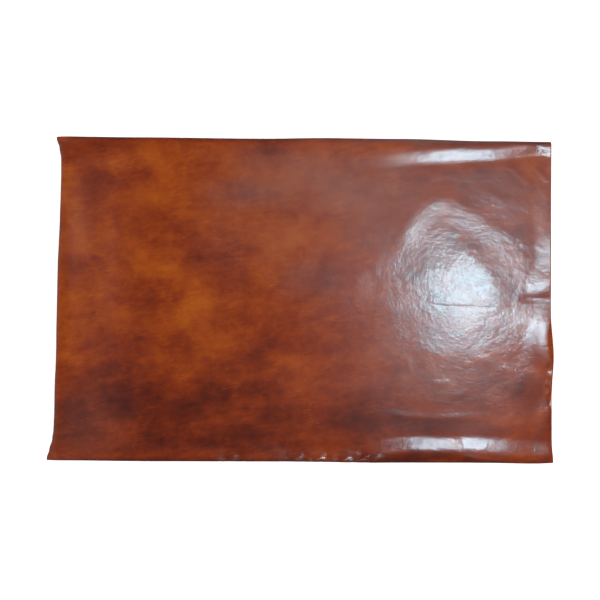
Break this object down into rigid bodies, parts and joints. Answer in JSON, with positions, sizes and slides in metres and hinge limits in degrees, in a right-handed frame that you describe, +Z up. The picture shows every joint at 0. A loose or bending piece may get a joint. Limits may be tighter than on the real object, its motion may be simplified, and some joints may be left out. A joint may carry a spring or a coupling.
{
  "type": "cowhide leather panel",
  "caption": "Rectangular cut panel of glazed, brush-dyed brown cowhide, lying grain side up with its left rim rolled under and its other rims slightly lifted.",
  "frame": {"origin": "under the middle of the panel, on the surface that it lies on", "axes": "+X along the panel's length, away from the rolled rim; +Y along its width; +Z up, out of the grain side"},
  "size_m": [0.4634, 0.2989, 0.0092],
  "materials": {
    "hide": "glazed"
  },
  "bodies": {
    "root": {"cowhide_panel": "hide"}
  },
  "joints": []
}
